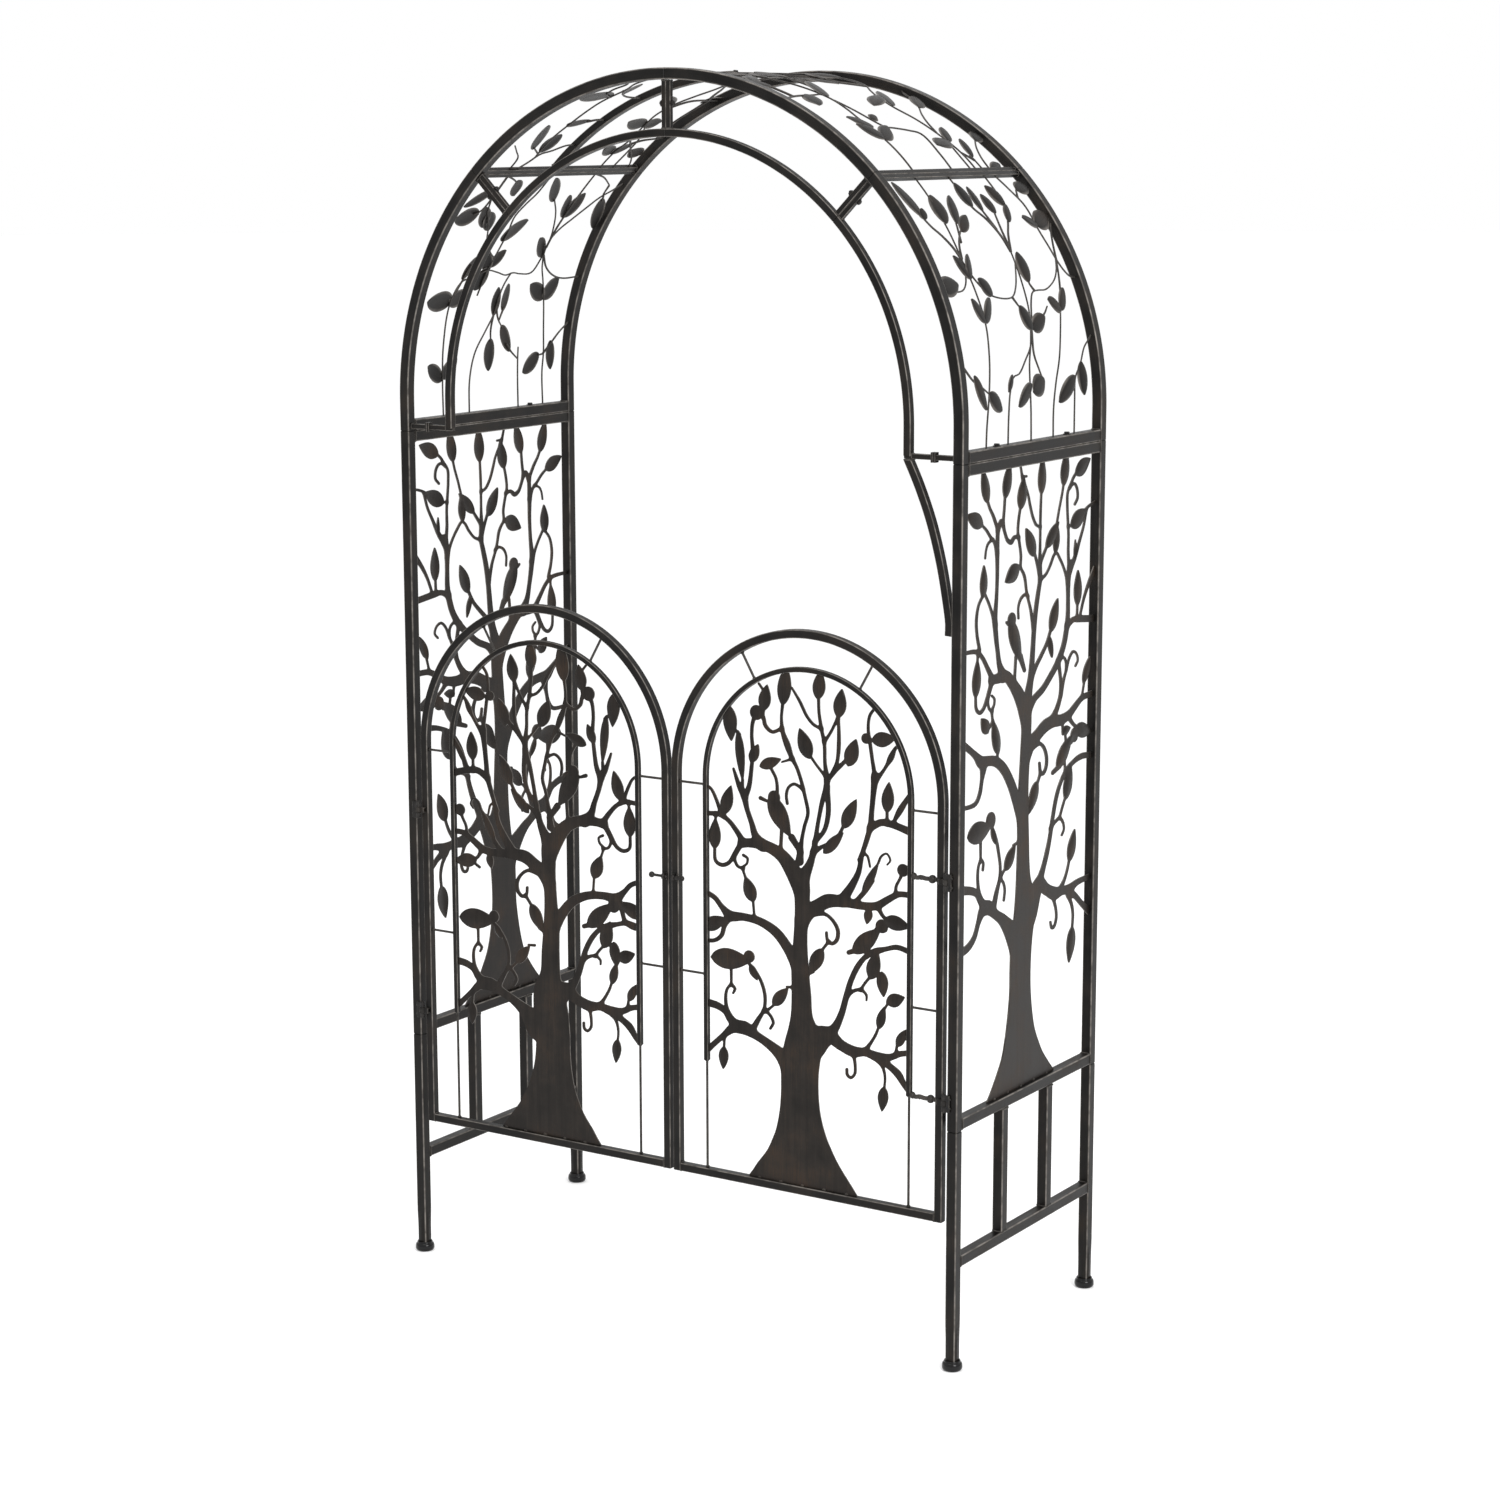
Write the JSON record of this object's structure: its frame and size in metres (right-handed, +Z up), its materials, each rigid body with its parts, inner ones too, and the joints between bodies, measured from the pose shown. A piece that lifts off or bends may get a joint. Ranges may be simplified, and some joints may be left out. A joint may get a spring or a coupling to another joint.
{
  "type": "garden arch",
  "caption": "Walk-through metal garden arch with a curved vine top, tree panels on both sides and a pair of arched gates with hinges and a slide bolt.",
  "frame": {"origin": "on the ground, midway between the four feet", "axes": "+Z up, front with the gates towards -Y, +X to the right seen from the front"},
  "size_m": [1.192, 0.532, 2.21],
  "materials": {
    "frame": "brushed dark bronze powder coat, satin",
    "cut_sheet": "brushed dark bronze powder coat, satin",
    "hardware": "dark painted steel, satin",
    "foot_cap": "glossy black"
  },
  "bodies": {
    "arch": {"leg_front_left": "frame", "post_front_left": "frame", "leg_back_left": "frame", "post_back_left": "frame", "lower_grille_left": "frame", "panel_bottom_rail_left": "frame", "panel_top_rail_left": "frame", "front_outer_arch_lower_left": "frame", "front_inner_arch_lower_left": "frame", "back_arch_lower_left": "frame", "front_outer_arch_upper_left": "frame", "front_inner_arch_upper_left": "frame", "back_arch_upper_left": "frame", "leg_front_right": "frame", "post_front_right": "frame", "leg_back_right": "frame", "post_back_right": "frame", "lower_grille_right": "frame", "panel_bottom_rail_right": "frame", "panel_top_rail_right": "frame", "front_outer_arch_lower_right": "frame", "front_inner_arch_lower_right": "frame", "back_arch_lower_right": "frame", "front_outer_arch_upper_right": "frame", "front_inner_arch_upper_right": "frame", "back_arch_upper_right": "frame", "crown_rib": "frame", "brace_right": "frame", "foot_front_left": "foot_cap", "foot_back_left": "foot_cap", "foot_front_right": "foot_cap", "foot_back_right": "foot_cap", "panel_tree_left": "cut_sheet", "panel_tree_right": "cut_sheet", "vine_lower_right": "cut_sheet", "vine_upper_right": "cut_sheet", "vine_lower_left": "cut_sheet", "vine_upper_left_front": "cut_sheet", "vine_upper_left_back": "cut_sheet", "spring_bolt_front_left": "hardware", "spring_bolt_back_left": "hardware", "hinge_pintle_lower_left": "hardware", "hinge_pintle_upper_left": "hardware", "spring_bolt_front_right": "hardware", "spring_bolt_back_right": "hardware", "hinge_pintle_lower_right": "hardware", "hinge_pintle_upper_right": "hardware", "tie_bolt_right": "hardware", "tie_bolt_left": "hardware", "tie_bolt_crown": "hardware"},
    "gate_left": {"gate_frame_left": "frame", "gate_inner_arch_left": "frame", "gate_tree_left": "cut_sheet", "latch_guide": "hardware"},
    "gate_right": {"gate_frame_right": "frame", "gate_inner_arch_right": "frame", "gate_tree_right": "cut_sheet", "latch_keeper": "hardware"},
    "latch_bolt": {"latch_bolt": "hardware"}
  },
  "joints": [
    {"name": "left_gate_hinge", "type": "hinge", "parent": "arch", "child": "gate_left", "pos_m": [-0.563, -0.259, 0.6705], "axis": [0, 0, -1], "range_deg": [0, 100]},
    {"name": "right_gate_hinge", "type": "hinge", "parent": "arch", "child": "gate_right", "pos_m": [0.563, -0.259, 0.6705], "axis": [0, 0, 1], "range_deg": [0, 100]},
    {"name": "latch_bolt_slide", "type": "slide", "parent": "gate_left", "child": "latch_bolt", "axis": [1, 0, 0], "range_m": [0, 0.015]}
  ]
}
